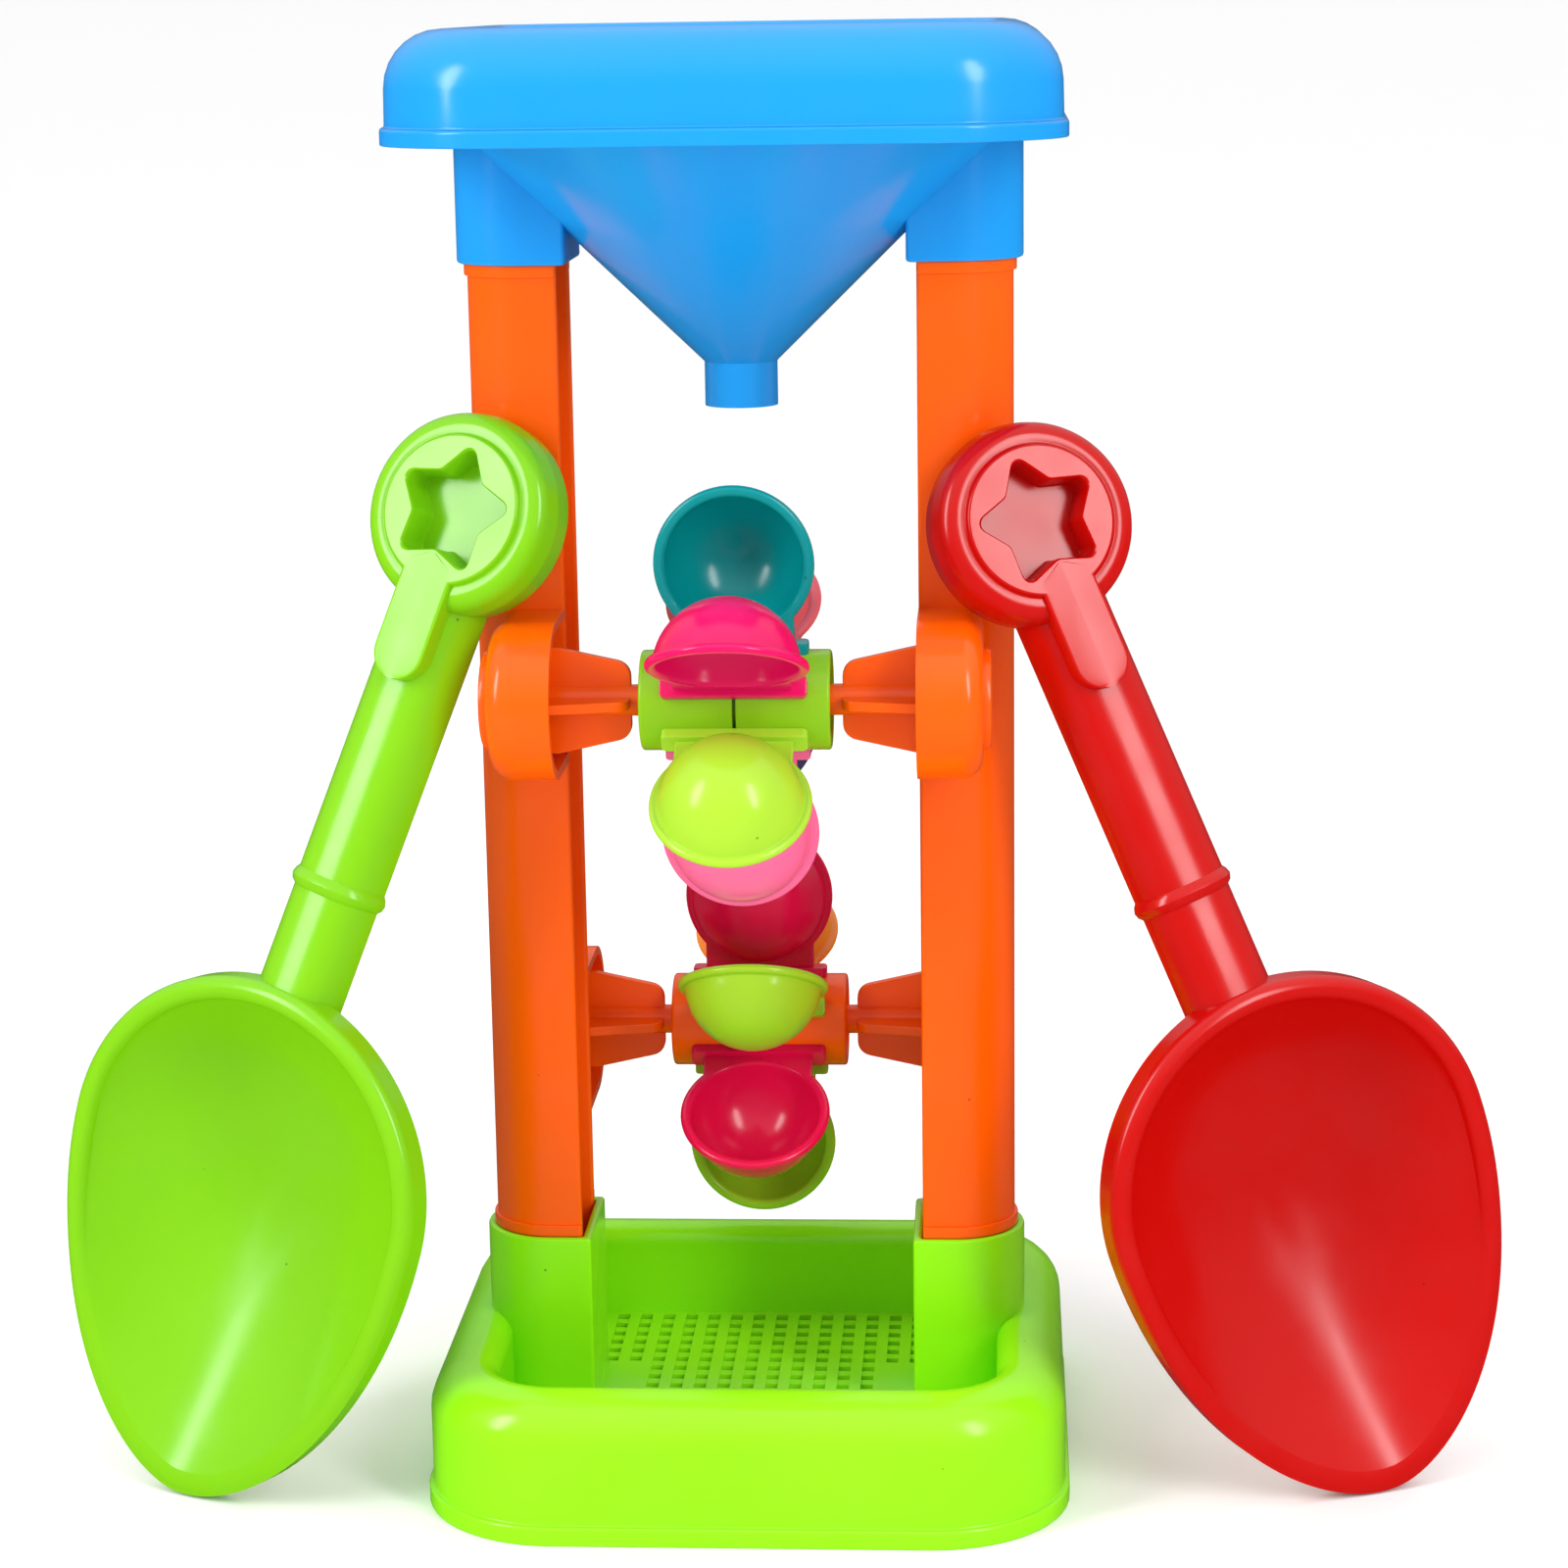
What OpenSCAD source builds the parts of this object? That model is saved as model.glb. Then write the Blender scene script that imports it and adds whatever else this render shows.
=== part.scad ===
// Sand wheel toy. Sand poured into the hopper drops on the cups of two wheels and through a sieve tray.
// Two hand shovels lean on the posts. Millimetres, +Z up, front towards -Y, origin under the tray's middle.

/* [Plastic] */
// Wall of the hopper, the tray and the posts
wall = 2; // [1.6:0.1:2.4]
// Play of a post in its sockets, on every side
socket_play = 0.15; // [0.1:0.05:0.3]
// Play of a cup in its hub and of the two hub halves in each other
seat_play = 0.1; // [0.05:0.05:0.2]
// Play of an axle pin in its hub, on the radius
pin_play = 0.06; // [0.03:0.01:0.1]

/* [Tray] */
// Width over the foot lip
tray_w = 141.4; // [138:0.2:160]
// Depth over the foot lip
tray_d = 132; // [126:1:150]
// Height of the rolled rim
tray_h = 31.4; // [28:0.2:36]
// Plan corner radius at the foot lip
tray_corner = 30; // [26:1:34]
// Width of the rolled rim, from the foot lip to the pocket
tray_rim_w = 16; // [15:0.5:18]
// Outer rounding of the rolled rim
tray_round = 10; // [8:0.5:11]
// Inner rounding of the rolled rim
tray_inner_round = 4.5; // [3:0.5:5]
// Height of the foot lip
tray_lip_h = 4.3; // [3:0.1:6]
// Height of the post sockets
tray_socket_h = 51.3; // [46:0.1:56]
// Upper face of the sieve
sieve_z = 9.9; // [8:0.1:14]
// Thickness of the sieve plate
sieve_t = 2.4; // [2:0.1:3]
// Distance between slots and between cross bars
sieve_pitch = 5.5; // [5:0.1:6.5]
// Width of a slot
slot_w = 3.1; // [2.6:0.1:3.6]
// Width of a cross bar
bar_w = 1.4; // [1.2:0.1:2]
// Slots that run the whole depth
long_slots = 10; // [6:2:10]

/* [Posts] */
// Clear width between the two posts
post_gap = 76.6; // [74:0.2:80]
// Post size across the tower
post_t = 20.6; // [18:0.2:22]
// Post size from front to back
post_d = 26; // [24:0.5:28]
// Length of a post that shows between its sockets
post_show = 216.7; // [210:0.1:230]
// Length of a post inside the hopper's socket
post_top_in = 18; // [14:0.5:20]
// Height of the stop bead at each socket
bead_h = 2.6; // [2:0.1:4]
// How far a stop bead stands out
bead_out = 0.7; // [0.5:0.1:1.5]

/* [Axles] */
// Axle distance in front of or behind the posts' middle plane
axle_out = 29.3; // [28:0.1:32]
// Height of the lower axle
lower_axle_z = 90; // [88:0.5:94]
// Height of the upper axle
upper_axle_z = 177.2; // [174:0.2:182]
// Radius of the dished pod that carries an axle
pod_r = 17; // [16:0.2:18]
// Depth of the pod
pod_len = 14; // [12:0.2:16]
// Rounding of the pod's outer end
pod_round = 4.5; // [3:0.5:6]
// Radius of the raised disc on the pod's outer end
disc_r = 10.8; // [9:0.1:11]
// Height of the raised disc
disc_h = 1.8; // [1:0.1:2.4]
// Thickness of the crossed fins
fin_t = 2.2; // [1.8:0.1:2.6]
// Half height of the fins at the pod
fin_root = 11.5; // [10:0.5:13]
// Half height of the fins at their tip
fin_tip = 8; // [7:0.5:9]
// Length of the fins towards the wheel
fin_len = 15.8; // [14:0.1:16.2]
// Rounding of the fins' tip corners
fin_round = 3.5; // [2:0.5:4]
// Diameter of the axle pin
pin_d = 6.7; // [6:0.1:7.5]
// Length of the axle pin beyond the fins
pin_len = 8.6; // [8:0.1:10]

/* [Wheels] */
// Length of a hub over both halves
hub_len = 40.4; // [39:0.2:42]
// Diameter of a hub
hub_d = 21.4; // [20:0.2:24]
// Wall of a hub
hub_wall = 2; // [1.8:0.1:2.4]
// Depth of the open recess at each hub end
hub_recess = 2.6; // [2:0.1:3]
// Thickness of the bored end plate
hub_plate = 2.6; // [2:0.1:3]
// Length of the spigot that joins the halves
spigot_len = 6; // [4:0.5:8]
// Wall of the spigot
spigot_wall = 1.5; // [1.2:0.1:1.8]
// Turn of the upper wheel
upper_turn = 6; // [0:1:60]
// Turn of the lower wheel
lower_turn = 0; // [0:1:60]

/* [Cups] */
// Distance from the axle to the middle of a cup
cup_reach = 29.7; // [29:0.1:31]
// Diameter of a cup over its lip
cup_d = 34; // [32:0.2:35]
// Overhang of the lip
cup_lip = 1.5; // [1:0.1:2]
// Thickness of the lip
cup_lip_t = 2; // [1.6:0.1:2.6]
// Wall of the bowl
cup_wall = 1.5; // [1.2:0.1:1.8]
// Width of the neck between cup and hub
neck_w = 25; // [22:0.5:26]
// Thickness of the neck
neck_t = 2; // [1.6:0.1:2.4]
// Length of the foot bar on the hub
foot_l = 31; // [28:0.5:36]
// Width of the foot bar
foot_w = 4.8; // [4:0.1:5.4]
// Height of the foot bar above the hub
foot_t = 2.2; // [1.6:0.1:2.4]

/* [Hopper] */
// Width over the lip
hopper_w = 140; // [136:1:160]
// Depth over the lip
hopper_d = 136; // [130:1:150]
// Height of the rolled rim
hopper_h = 23.1; // [20:0.1:28]
// Plan corner radius at the lip
hopper_corner = 28; // [24:1:32]
// Width of the rolled rim, from the lip to the mouth
hopper_rim_w = 16; // [15.5:0.5:17]
// Outer rounding of the rolled rim
hopper_round = 12; // [8:0.5:12]
// Inner rounding of the rolled rim
hopper_inner_round = 2.8; // [2.5:0.1:3]
// Height of the lip
hopper_lip_h = 3.6; // [2:0.1:5]
// How far the lips of hopper and tray stand out
lip_out = 1; // [0.6:0.1:1.5]
// Length of the hopper's post sockets, up to the lip
hopper_socket_h = 26.7; // [24:0.1:30]
// Drop of the funnel below the lip
funnel_drop = 48.4; // [44:0.2:54]
// Diameter of the spout
spout_d = 15.8; // [13:0.2:18]
// Length of the spout
spout_len = 9.5; // [7:0.5:14]

/* [Shovels] */
// Diameter of the grip
grip_d = 44; // [40:0.5:46]
// Thickness of the grip
grip_t = 13; // [12:0.5:15]
// Rounding of the grip's front edge
grip_round = 6; // [4:0.5:7]
// Radius of the groove ring on the grip
ring_r = 16.3; // [16:0.1:16.6]
// Width of the groove
ring_w = 1; // [0.8:0.1:1.4]
// Tip radius of the star recess
star_r = 14; // [12:0.2:14.2]
// Depth of the star recess
star_deep = 8; // [5:0.5:9]
// From the middle of the grip to the scoop
handle_len = 108.5; // [106:0.5:116]
// Width of the half tube handle
handle_w = 21; // [19:0.5:22]
// Distance of the collar from the scoop
collar_z = 22.5; // [18:0.5:26]
// Height of the collar
collar_h = 2.4; // [2:0.1:4]
// Width of the raised tab below the grip
tab_w = 10.4; // [9:0.2:12]
// Length of the tab from the middle of the grip
tab_len = 38; // [34:1:42]
// Width of the scoop over its rolled rim
scoop_w = 90.5; // [82:0.5:94]
// Length of the scoop over its rolled rim
scoop_len = 120.5; // [112:0.5:124]
// Depth of the scoop
scoop_deep = 20; // [16:1:22]
// Radius of the rolled rim of the scoop
roll_r = 2.6; // [2.4:0.1:3]
// Backward bend of the scoop, in degrees
scoop_bend = 13.5; // [10:0.5:16]
// Outward turn of the left shovel about its handle, in degrees
left_turn = 25.5; // [20:0.5:28]
// Outward turn of the right shovel about its handle, in degrees
right_turn = 22.5; // [18:0.5:26]
// Sideways lean of the left shovel, in degrees
left_lean = 21; // [19:0.5:23]
// Sideways lean of the right shovel, in degrees
right_lean = 23.5; // [21:0.5:25]
// Backward lean of the left shovel, in degrees
left_back = 10; // [9:0.5:13]
// Backward lean of the right shovel, in degrees
right_back = 8.5; // [8:0.5:12]
// Distance of the left scoop's top from the tower's middle
left_x = 94; // [93:0.5:103]
// Distance of the right scoop's top from the tower's middle
right_x = 103.5; // [103:0.5:111]
// Air between a shovel and the post it leans on
lean_gap = 0.3; // [0.2:0.05:0.6]

/* [Hidden] */
$fn = 72;
cups = 6;
over = 1;
leg_share = 0.75;
star_points = 5;
star_share = 0.58;
scoop_top_share = 0.37;
scoop_power = 1.12;
dish_power = 2.6;
scoop_steps = 48;
dish_shares = [0.3, 0.55, 0.75, 0.9, 1];
roll_angles = [45, 90, 135, 180];
handle_front_share = 0.86;
lean_share = 0.95;
socket_out = wall + socket_play;
post_r = post_d / 2;
post_x = post_gap / 2;
post_mid = post_t - post_r;
lip_z = tray_socket_h + post_show + hopper_socket_h;
hopper_socket_z = lip_z - hopper_socket_h;
post_top_z = hopper_socket_z + post_top_in;
mouth_w = hopper_w - 2 * hopper_rim_w;
mouth_d = hopper_d - 2 * hopper_rim_w;
mouth_corner = hopper_corner - hopper_rim_w;
pocket_w = tray_w - 2 * tray_rim_w;
pocket_d = tray_d - 2 * tray_rim_w;
pocket_corner = tray_corner - tray_rim_w;
sieve_low = sieve_z - sieve_t;
funnel_z = lip_z - funnel_drop;
spout_r = spout_d / 2;
funnel_slope = (mouth_w / 2 - spout_r) / (funnel_drop - hopper_lip_h);
pin_r = pin_d / 2;
hub_r = hub_d / 2;
hub_half = hub_len / 2;
hub_bore = hub_r - hub_wall;
bowl_r = cup_d / 2 - cup_lip;
grip_r = grip_d / 2;
handle_r = handle_w / 2;
handle_in = handle_r - wall;
scoop_a = scoop_len * scoop_top_share;
scoop_b = scoop_len - scoop_a;
roll_w = 2 * roll_r;

// Flat shapes

module rounded_rect(w, d, r) {
  square([w - 2 * r, d], center = true);
  square([w, d - 2 * r], center = true);
  for (x = [-1, 1], y = [-1, 1])
    translate([x * (w / 2 - r), y * (d / 2 - r)]) circle(r);
}

module quarter(r) {
  intersection() {
    circle(r);
    square(r);
  }
}

// Section of a rolled rim: x outwards from the corner's axis, y up
module arch(inner, outer, top, inner_r, outer_r) {
  translate([inner, 0]) square([outer - inner, top - outer_r]);
  translate([inner, 0]) square([outer - inner - outer_r, top - inner_r]);
  translate([inner + inner_r, 0]) square([outer - inner - inner_r - outer_r, top]);
  translate([outer - outer_r, top - outer_r]) quarter(outer_r);
  translate([inner + inner_r, top - inner_r]) mirror([1, 0]) quarter(inner_r);
}

module rolled_rim(corner, rim_w, top, inner_r, outer_r, lip_h) {
  outer = corner - lip_out;
  inner = corner - rim_w;
  difference() {
    union() {
      arch(inner, outer, top, inner_r, outer_r);
      translate([outer - wall, 0]) square([wall + lip_out, lip_h]);
    }
    arch(inner + wall, outer - wall, top - wall, inner_r - wall, outer_r - wall);
  }
}

// Runs a section around a rounded rectangle
module around(w, d, r) {
  for (k = [0:3])
    rotate(90 * k) {
      across = (k % 2 == 0 ? w : d) / 2 - r;
      along = (k % 2 == 0 ? d : w) / 2 - r;
      translate([across, along, 0]) rotate_extrude(angle = 90) children();
      translate([across, 0, 0]) rotate([90, 0, 0])
        linear_extrude(height = 2 * along, center = true) children();
    }
}

// Plan of a post: flat towards the tower's middle, round outwards
module post_plan(grow, flat) {
  deep = post_d + 2 * grow;
  translate([-flat, -deep / 2]) square([post_mid + flat, deep]);
  intersection() {
    translate([post_mid, 0]) circle(deep / 2);
    translate([0, -deep / 2]) square(deep);
  }
}

module post_hollow() {
  translate([-over, wall - post_r]) square([post_mid + over, post_d - 2 * wall]);
  intersection() {
    translate([post_mid, 0]) circle(post_r - wall);
    translate([0, -post_r]) square(post_d);
  }
}

module both_sides() {
  for (k = [0, 1]) mirror([k, 0, 0]) translate([post_x, 0, 0]) children();
}

// Frame

module sockets(low, high, grow) {
  both_sides() translate([0, 0, low]) linear_extrude(height = high - low) post_plan(grow, grow);
}

module funnel(shrink, grow) {
  high = funnel_drop + hopper_h;
  translate([0, 0, funnel_z]) intersection() {
    cylinder(h = high, r1 = spout_r - shrink, r2 = spout_r - shrink + funnel_slope * high);
    linear_extrude(height = high - hopper_inner_round)
      rounded_rect(mouth_w + 2 * grow, mouth_d + 2 * grow, mouth_corner + grow);
  }
}

module hopper() color([0.16, 0.67, 1]) {
  difference() {
    union() {
      translate([0, 0, lip_z]) around(hopper_w, hopper_d, hopper_corner)
        rolled_rim(hopper_corner, hopper_rim_w, hopper_h, hopper_inner_round, hopper_round, hopper_lip_h);
      funnel(0, wall * leg_share);
      translate([0, 0, funnel_z - spout_len]) cylinder(h = spout_len, r = spout_r);
      sockets(hopper_socket_z, lip_z + hopper_lip_h, socket_out);
    }
    difference() {
      funnel(wall, 0);
      sockets(funnel_z, post_top_z + socket_out, socket_out);
    }
    translate([0, 0, funnel_z - spout_len - over]) cylinder(h = spout_len + 2 * over, r = spout_r - wall);
    sockets(funnel_z, post_top_z + socket_play, socket_play);
  }
}

module sieve() {
  short_y = post_r + socket_out + wall;
  edge_y = pocket_d / 2 - wall;
  slot_x = sieve_pitch / 2;
  rows = floor((edge_y - bar_w) / sieve_pitch);
  difference() {
    translate([0, 0, sieve_low]) linear_extrude(height = sieve_t)
      rounded_rect(pocket_w + 2 * wall, pocket_d + 2 * wall, pocket_corner + wall);
    for (k = [0:long_slots / 2 - 1], side = [-1, 1])
      translate([side * (slot_x + k * sieve_pitch) - slot_w / 2, -edge_y, sieve_low - over])
        cube([slot_w, 2 * edge_y, sieve_t + 2 * over]);
    for (k = [0, 1], side = [-1, 1], end = [-1, 1])
      translate([
          side * (slot_x + (k + long_slots / 2) * sieve_pitch), end * (short_y + edge_y) / 2, sieve_low])
        cube([slot_w, edge_y - short_y, 2 * sieve_t + over], center = true);
  }
  for (k = [-rows:rows])
    translate([-pocket_w / 2, k * sieve_pitch - bar_w / 2, sieve_low])
      cube([pocket_w, bar_w, sieve_t / 2]);
}

module sieve_base() color([0.63, 1, 0.2]) {
  difference() {
    union() {
      difference() {
        around(tray_w, tray_d, tray_corner)
          rolled_rim(tray_corner, tray_rim_w, tray_h, tray_inner_round, tray_round, tray_lip_h);
        translate([0, 0, -over]) linear_extrude(height = sieve_low + over)
          rounded_rect(pocket_w + 2 * wall, pocket_d + 2 * wall, pocket_corner + wall);
      }
      sieve();
      sockets(sieve_low, tray_socket_h, socket_out);
    }
    sockets(sieve_z, tray_socket_h + over, socket_play);
  }
}

// Posts

module pod_end(r, len, soft) {
  square([r, len - soft]);
  square([r - soft, len]);
  translate([r - soft, len - soft]) circle(soft);
}

module pod_body(r, len, soft) {
  rotate([0, 90, 0]) rotate_extrude() pod_end(r, len, soft);
  rotate([90, 0, 0]) linear_extrude(height = axle_out)
    for (k = [0, 1]) mirror([0, k]) rotate(90) mirror([0, 1]) pod_end(r, len, soft);
}

module fin() {
  linear_extrude(height = fin_t, center = true) {
    translate([-over, -fin_root]) square([pod_len - wall + over, 2 * fin_root]);
    polygon([[0, -fin_root], [fin_round - fin_len, -fin_tip], [fin_round - fin_len, fin_tip], [0, fin_root]]);
    translate([-fin_len, fin_round - fin_tip]) square([fin_len, 2 * (fin_tip - fin_round)]);
    for (k = [-1, 1]) translate([fin_round - fin_len, k * (fin_tip - fin_round)]) circle(fin_round);
  }
}

module axle() {
  for (k = [0, 90]) rotate([k, 0, 0]) fin();
  translate([-fin_len - pin_len, 0, 0]) rotate([0, 90, 0])
    cylinder(h = fin_len + pin_len + pod_len - wall, r = pin_r);
  translate([pod_len - wall, 0, 0]) rotate([0, 90, 0]) cylinder(h = wall + disc_h, r = disc_r);
}

module axle_pod(z, side) {
  translate([0, side * axle_out, z]) mirror([0, side < 0 ? 1 : 0, 0]) {
    difference() {
      pod_body(pod_r, pod_len, pod_round);
      translate([-over, 0, 0]) pod_body(pod_r - wall, pod_len - wall + over, pod_round - wall);
      translate([0, -axle_out, -pod_r - over]) linear_extrude(height = 2 * (pod_r + over)) post_plan(0, over);
    }
    axle();
  }
}

module stop_bead(z) {
  translate([0, 0, z]) linear_extrude(height = bead_h) difference() {
    post_plan(bead_out, 0);
    post_hollow();
  }
}

module post() {
  translate([post_x, 0, 0]) {
    translate([0, 0, sieve_z]) linear_extrude(height = post_top_z - sieve_z) difference() {
      post_plan(0, 0);
      post_hollow();
    }
    stop_bead(tray_socket_h);
    stop_bead(hopper_socket_z - bead_h);
    axle_pod(upper_axle_z, -1);
    axle_pod(lower_axle_z, 1);
  }
}

module left_post() color([1, 0.45, 0]) mirror([1, 0, 0]) post();

module right_post() color([1, 0.45, 0]) post();

// Wheels: a hub half runs from the seam towards +X, a cup stands along +Z and opens towards -Y

module hub_half(spigot) {
  inner = spigot ? hub_bore - spigot_wall : hub_bore;
  deep = hub_half - hub_recess - hub_plate;
  slot_t = neck_t + 2 * seat_play;
  slot_in = spigot ? 0 : over;
  rotate([0, 90, 0]) difference() {
    union() {
      cylinder(h = hub_half, r = hub_r);
      if (spigot) translate([0, 0, -spigot_len]) cylinder(h = spigot_len + wall, r = hub_bore - seat_play);
    }
    translate([0, 0, -spigot_len - over]) cylinder(h = deep + spigot_len + over, r = inner);
    translate([0, 0, -spigot_len - over]) cylinder(h = hub_len, r = pin_r + pin_play);
    translate([0, 0, hub_half - hub_recess]) cylinder(h = hub_recess + over, r = hub_bore);
    for (k = [0:cups - 1]) rotate(-360 / cups * k)
      translate([-hub_r - over, -slot_t / 2, -over])
        cube([hub_wall + over + slot_in, slot_t, over + neck_w / 2 + seat_play]);
  }
}

module cup() {
  half_t = neck_t / 2;
  low = hub_bore + seat_play;
  soft = cup_lip_t / 2;
  translate([0, -half_t, cup_reach]) rotate([-90, 0, 0]) rotate_extrude() difference() {
    intersection() {
      union() {
        circle(bowl_r);
        square([cup_d / 2 - soft, cup_lip_t]);
        translate([cup_d / 2 - soft, soft]) circle(soft);
      }
      square(cup_d);
    }
    circle(bowl_r - cup_wall);
  }
  difference() {
    translate([-neck_w / 2, -half_t, low]) cube([neck_w, neck_t, cup_reach - low]);
    translate([0, -half_t, cup_reach]) sphere(bowl_r - cup_wall);
  }
  difference() {
    translate([-foot_l / 2, -foot_w / 2, hub_bore]) cube([foot_l, foot_w, hub_wall + foot_t]);
    rotate([0, 90, 0]) cylinder(h = foot_l + 2 * over, r = hub_r + seat_play, center = true);
  }
}

module upper_wheel() {
  translate([0, -axle_out, upper_axle_z]) rotate([upper_turn, 0, 0]) children();
}

module lower_wheel() {
  translate([0, axle_out, lower_axle_z]) rotate([lower_turn, 0, 0]) children();
}

module upper_hub_left() color([0.65, 0.84, 0.18]) upper_wheel() mirror([1, 0, 0]) hub_half(true);

module upper_hub_right() color([0.65, 0.84, 0.18]) upper_wheel() hub_half(false);

module lower_hub_left() color([1, 0.35, 0.04]) lower_wheel() mirror([1, 0, 0]) hub_half(true);

module lower_hub_right() color([1, 0.35, 0.04]) lower_wheel() hub_half(false);

upper_colours = [
    [0, 0.67, 0.69], [1, 0.14, 0.47], [0.71, 0.94, 0.24],
    [1, 0.43, 0.63], [0.33, 0.33, 0.6], [1, 0.5, 0.5]];
lower_colours = [
    [0.88, 0.08, 0.3], [0.5, 0.85, 0.1], [0.86, 0.08, 0.4],
    [0.45, 0.8, 0.1], [0, 0.67, 0.69], [1, 0.65, 0.16]];

module upper_cup(i) color(upper_colours[i]) upper_wheel() rotate([i * 360 / cups, 0, 0]) cup();

module lower_cup(i) color(lower_colours[i])
  lower_wheel() rotate([i * 360 / cups, 0, 0]) mirror([0, 1, 0]) cup();

// Shovels: the handle stands on the origin along +Z with its front towards -Y

function turn_x(a) = [[1, 0, 0], [0, cos(a), -sin(a)], [0, sin(a), cos(a)]];
function turn_y(a) = [[cos(a), 0, sin(a)], [0, 1, 0], [-sin(a), 0, cos(a)]];
function turn_z(a) = [[cos(a), -sin(a), 0], [sin(a), cos(a), 0], [0, 0, 1]];

// Egg outline of the scoop in its own plane, z down from the widest line
function egg(a, grow) = let (s = sin(a), c = cos(a)) [
    (scoop_w / 2 + grow) * sign(s) * pow(abs(s), c < 0 ? scoop_power : 1),
    (c < 0 ? scoop_b + grow : scoop_a + grow) * c];

function egg_ring(share, grow, y) = [
    for (i = [0:scoop_steps - 1])
      let (p = egg(360 / scoop_steps * i, grow - roll_w)) [share * p[0], y, share * p[1]]];

function dish_y(share) = scoop_deep * (1 - pow(share, dish_power));

scoop_rings = concat(
    [for (s = dish_shares) egg_ring(s, 0, dish_y(s))],
    [for (a = roll_angles) egg_ring(1, roll_r * (1 - cos(a)), -roll_r * sin(a))],
    [egg_ring(1, roll_w, roll_w), egg_ring(1, roll_w - wall, roll_w), egg_ring(1, roll_w - wall, wall)],
    [for (k = [len(dish_shares) - 1:-1:0]) egg_ring(dish_shares[k], wall, dish_y(dish_shares[k]) + wall)]);

module scoop() {
  rings = len(scoop_rings);
  n = scoop_steps;
  points = concat([for (r = scoop_rings) for (p = r) p], [[0, scoop_deep, 0], [0, scoop_deep + wall, 0]]);
  faces = concat(
      [for (i = [0:n - 1]) [rings * n, i, (i + 1) % n]],
      [for (r = [0:rings - 2]) for (i = [0:n - 1])
        [r * n + i, (r + 1) * n + i, r * n + (i + 1) % n]],
      [for (r = [0:rings - 2]) for (i = [0:n - 1])
        [r * n + (i + 1) % n, (r + 1) * n + i, (r + 1) * n + (i + 1) % n]],
      [for (i = [0:n - 1]) [rings * n + 1, (rings - 1) * n + (i + 1) % n, (rings - 1) * n + i]]);
  translate([0, -handle_r * handle_front_share, 0]) rotate([scoop_bend, 0, 0]) translate([0, 0, -scoop_a])
    polyhedron(points, faces);
}

module star(r) {
  polygon([for (i = [0:2 * star_points - 1])
      let (a = 180 / star_points * i + 90, q = i % 2 == 0 ? r : r * star_share) [q * cos(a), q * sin(a)]]);
}

module grip() {
  translate([0, 0, handle_len]) rotate([90, 0, 0]) difference() {
    rotate_extrude() difference() {
      pod_end(grip_r, grip_t, grip_round);
      translate([ring_r - ring_w / 2, grip_t - ring_w]) square([ring_w, ring_w + over]);
    }
    translate([0, 0, grip_t - star_deep]) linear_extrude(height = star_deep + over) star(star_r);
  }
}

module shovel() {
  scoop();
  difference() {
    union() {
      translate([0, 0, -wall]) cylinder(h = handle_len + wall, r = handle_r);
      translate([0, 0, collar_z]) cylinder(h = collar_h, r = handle_r + lip_out);
    }
    translate([0, 0, -wall - over]) cylinder(h = handle_len + wall + 2 * over, r = handle_in);
    translate([-handle_w, 0, -wall - over]) cube([2 * handle_w, handle_w, handle_len + wall + 2 * over]);
  }
  difference() {
    translate([0, -handle_in, 0]) rotate([90, 0, 0]) linear_extrude(height = wall + lip_out) {
      translate([-tab_w / 2, handle_len - tab_len + tab_w / 2]) square([tab_w, tab_len - tab_w]);
      translate([0, handle_len - tab_len + tab_w / 2]) circle(tab_w / 2);
    }
    cylinder(h = handle_len, r = handle_in);
  }
  grip();
}

// A shovel leans with the back of its grip on the round of a post and the edge of its scoop on the ground

function shovel_spin(lean, back, turn) = turn_y(-lean) * turn_x(-back) * turn_z(turn);

// The scoop's points as it leans, with the foot of the handle at the origin
function scoop_spots(spin) = let (
    foot = spin * [0, -handle_r * handle_front_share, 0],
    tilt = spin * turn_x(scoop_bend))
  [for (r = scoop_rings) for (p = r) foot + tilt * (p - [0, 0, scoop_a])];

function scoop_reach(spin, x) = x + max([for (p = scoop_spots(spin)) p[0]]);

left_spin = shovel_spin(left_lean, left_back, left_turn);
right_spin = shovel_spin(right_lean, right_back, right_turn);

module lean_on_post(lean, back, turn, x) {
  spin = shovel_spin(lean, back, turn);
  front = spin * [0, -1, 0];
  flat = norm([front[0], front[1]]);
  mid = spin * [0, 0, handle_len];
  off = post_r + lean_gap + lean_share * grip_r * abs(front[2]) / flat;
  y = (off * flat - (x + mid[0] - post_x - post_mid) * front[0]) / front[1] - mid[1];
  z = lean_gap - min([for (p = scoop_spots(spin)) p[2]]);
  translate([x, y, z]) rotate([0, -lean, 0]) rotate([-back, 0, 0]) rotate([0, 0, turn]) shovel();
}

module green_shovel() color([0.55, 0.86, 0.12]) mirror([1, 0, 0])
  lean_on_post(left_lean, left_back, left_turn, left_x);

module red_shovel() color([0.86, 0.06, 0.08]) lean_on_post(right_lean, right_back, right_turn, right_x);

// The tower stands aside of the origin, so that the toy's box over both shovels is centred on it
tower_x = (scoop_reach(left_spin, left_x) - scoop_reach(right_spin, right_x)) / 2;

module centred() translate([tower_x, 0, 0]) children();

centred() hopper();
centred() sieve_base();
centred() left_post();
centred() right_post();
centred() upper_hub_left();
centred() upper_hub_right();
for (i = [0:cups - 1]) centred() upper_cup(i);
centred() lower_hub_left();
centred() lower_hub_right();
for (i = [0:cups - 1]) centred() lower_cup(i);
centred() green_shovel();
centred() red_shovel();
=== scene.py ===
import math

import bmesh
import bpy
from mathutils import Matrix, Vector


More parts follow.
